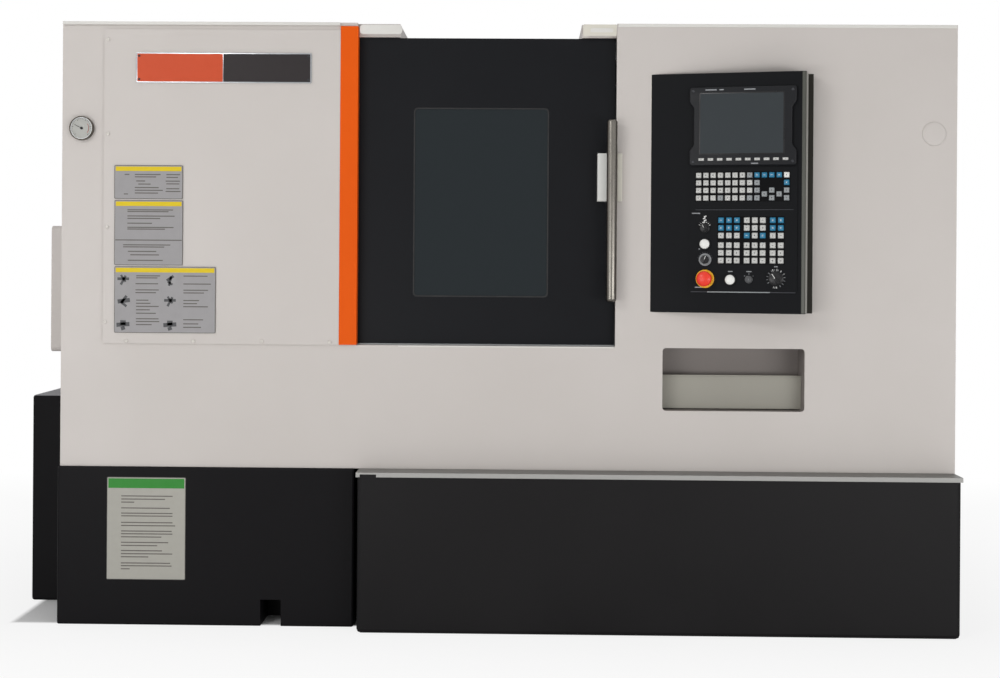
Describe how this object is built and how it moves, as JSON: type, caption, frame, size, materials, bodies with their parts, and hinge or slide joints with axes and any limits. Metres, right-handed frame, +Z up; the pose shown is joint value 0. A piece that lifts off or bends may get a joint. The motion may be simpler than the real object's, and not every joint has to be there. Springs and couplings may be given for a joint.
{
  "type": "cnc turning lathe",
  "caption": "Slant-bed turning machine in a sheet-metal enclosure with a sliding door, wedge-shaped control panel, chuck, tool turret, tailstock and coolant tank.",
  "frame": {"origin": "centre of the footprint's bounding box, on the floor", "axes": "+X to the right seen from the front, +Y to the back, +Z up"},
  "size_m": [2.778, 1.7974, 1.757],
  "materials": {
    "belt_rubber": "matte",
    "black_paint": "satin",
    "blackened_steel": "blackened",
    "cream_paint": "satin textured powder coat",
    "door_black": "satin",
    "grey_casting_paint": "painted casting",
    "knob_black": "satin",
    "light_grey_paint": "satin",
    "light_key": "matte",
    "machined_steel": "machined",
    "orange_paint": "satin",
    "panel_black": "fine textured",
    "polished_steel": "polished",
    "screen_grey": "gloss",
    "stainless_sheet": "brushed",
    "stop_red": "satin",
    "stop_yellow": "matte",
    "tinted_polycarbonate": "tinted",
    "white_plastic": "matte"
  },
  "bodies": {
    "frame": {"coolant_tank": "black_paint", "cylinder_cover": "cream_paint", "display_unit": "screen_grey", "document_pocket": "cream_paint", "drive_belt": "belt_rubber", "electrical_cabinet": "cream_paint", "emergency_stop_collar": "stop_yellow", "front_panel": "cream_paint", "headstock": "grey_casting_paint", "headstock_cover": "cream_paint", "hole_plug": "cream_paint", "inner_bulkhead": "stainless_sheet", "interlock_switch": "white_plastic", "left_side_panel": "cream_paint", "lower_door_rail": "stainless_sheet", "machine_base": "black_paint", "mdi_keys": "light_key", "operator_keys": "light_key", "orange_trim": "orange_paint", "panel_fascia": "panel_black", "panel_housing": "panel_black", "pressure_gauge": "polished_steel", "rear_panel": "cream_paint", "right_side_panel": "cream_paint", "roof_left": "cream_paint", "roof_right": "cream_paint", "side_cabinet": "black_paint", "slant_bed": "grey_casting_paint", "spindle_motor": "blackened_steel", "tank_cover": "light_grey_paint", "upper_door_rail": "stainless_sheet", "work_area_liner": "stainless_sheet", "work_light": "white_plastic"},
    "door": {"door_panel": "door_black", "door_window": "tinted_polycarbonate", "door_handle": "polished_steel", "door_latch": "white_plastic"},
    "spindle": {"spindle": "machined_steel", "chuck_body": "machined_steel", "spindle_pulley": "blackened_steel", "chuck_cylinder": "grey_casting_paint"},
    "jaw_1": {"chuck_jaw_1": "machined_steel"},
    "jaw_2": {"chuck_jaw_2": "machined_steel"},
    "jaw_3": {"chuck_jaw_3": "machined_steel"},
    "motor_shaft": {"motor_pulley": "blackened_steel"},
    "carriage": {"z_carriage": "grey_casting_paint"},
    "cross_slide": {"cross_slide": "grey_casting_paint", "turret_housing": "grey_casting_paint"},
    "turret": {"turret_disc": "machined_steel"},
    "tailstock": {"tailstock_body": "grey_casting_paint"},
    "quill": {"tailstock_quill": "machined_steel"},
    "live_centre": {"live_centre": "machined_steel"},
    "emergency_stop": {"emergency_stop": "stop_red"},
    "cycle_start": {"cycle_start_button": "white_plastic"},
    "program_stop": {"program_stop_button": "white_plastic"},
    "key_switch": {"key_switch": "polished_steel"},
    "feed_knob": {"feed_knob": "knob_black"},
    "mode_knob": {"mode_knob": "knob_black"},
    "spindle_knob": {"spindle_knob": "knob_black"},
    "main_switch": {"main_switch": "stop_red"}
  },
  "joints": [
    {"name": "door_slide", "type": "slide", "parent": "frame", "child": "door", "axis": [-1, 0, 0], "range_m": [0, 0.66]},
    {"name": "spindle_turn", "type": "hinge", "parent": "frame", "child": "spindle", "pos_m": [-0.211, -0.20558, 0.97], "axis": [1, 0, 0], "continuous": true},
    {"name": "motor_turn", "type": "hinge", "parent": "frame", "child": "motor_shaft", "pos_m": [-0.996, -0.38558, 0.645], "axis": [1, 0, 0], "continuous": true},
    {"name": "jaw_1_slide", "type": "slide", "parent": "spindle", "child": "jaw_1", "axis": [0, 0, 1], "range_m": [-0.004, 0.004]},
    {"name": "jaw_2_slide", "type": "slide", "parent": "spindle", "child": "jaw_2", "axis": [0, -0.866, -0.5], "range_m": [-0.004, 0.004]},
    {"name": "jaw_3_slide", "type": "slide", "parent": "spindle", "child": "jaw_3", "axis": [0, 0.866, -0.5], "range_m": [-0.004, 0.004]},
    {"name": "z_axis", "type": "slide", "parent": "frame", "child": "carriage", "axis": [1, 0, 0], "range_m": [-0.39, 0.02]},
    {"name": "x_axis", "type": "slide", "parent": "carriage", "child": "cross_slide", "axis": [0, 0.7071, 0.7071], "range_m": [-0.17, 0.03]},
    {"name": "turret_index", "type": "hinge", "parent": "cross_slide", "child": "turret", "pos_m": [0.289, 0.07726, 1.25284], "axis": [1, 0, 0], "continuous": true},
    {"name": "tailstock_slide", "type": "slide", "parent": "frame", "child": "tailstock", "axis": [1, 0, 0], "range_m": [-0.15, 0.03]},
    {"name": "quill_slide", "type": "slide", "parent": "tailstock", "child": "quill", "axis": [-1, 0, 0], "range_m": [0, 0.1]},
    {"name": "centre_turn", "type": "hinge", "parent": "quill", "child": "live_centre", "pos_m": [-0.211, -0.20558, 0.97], "axis": [1, 0, 0], "continuous": true},
    {"name": "emergency_stop_push", "type": "slide", "parent": "frame", "child": "emergency_stop", "axis": [0.2419, 0.9703, 0], "range_m": [0, 0.006], "stiffness_N_per_m": 2500},
    {"name": "cycle_start_push", "type": "slide", "parent": "frame", "child": "cycle_start", "axis": [0.2419, 0.9703, 0], "range_m": [0, 0.003], "stiffness_N_per_m": 1500},
    {"name": "program_stop_push", "type": "slide", "parent": "frame", "child": "program_stop", "axis": [0.2419, 0.9703, 0], "range_m": [0, 0.003], "stiffness_N_per_m": 1500},
    {"name": "key_switch_turn", "type": "hinge", "parent": "frame", "child": "key_switch", "pos_m": [0.78153, -0.85453, 1.018], "axis": [-0.2419, -0.9703, 0], "range_deg": [-60, 0]},
    {"name": "feed_knob_turn", "type": "hinge", "parent": "frame", "child": "feed_knob", "pos_m": [0.66025, -0.82429, 1.074], "axis": [-0.2419, -0.9703, 0], "range_deg": [-135, 135]},
    {"name": "mode_knob_turn", "type": "hinge", "parent": "frame", "child": "mode_knob", "pos_m": [0.85528, -0.87292, 1.021], "axis": [-0.2419, -0.9703, 0], "range_deg": [-90, 90]},
    {"name": "spindle_knob_turn", "type": "hinge", "parent": "frame", "child": "spindle_knob", "pos_m": [0.65831, -0.82381, 1.165], "axis": [-0.2419, -0.9703, 0], "range_deg": [-90, 90]},
    {"name": "main_switch_turn", "type": "hinge", "parent": "frame", "child": "main_switch", "pos_m": [1.039, 0.77942, 1.35], "axis": [1, 0, 0], "range_deg": [-90, 0]}
  ],
  "couplings": [
    {"joint": "motor_turn", "follows": "spindle_turn", "ratio": 1.5},
    {"joint": "jaw_2_slide", "follows": "jaw_1_slide", "ratio": 1},
    {"joint": "jaw_3_slide", "follows": "jaw_1_slide", "ratio": 1}
  ]
}
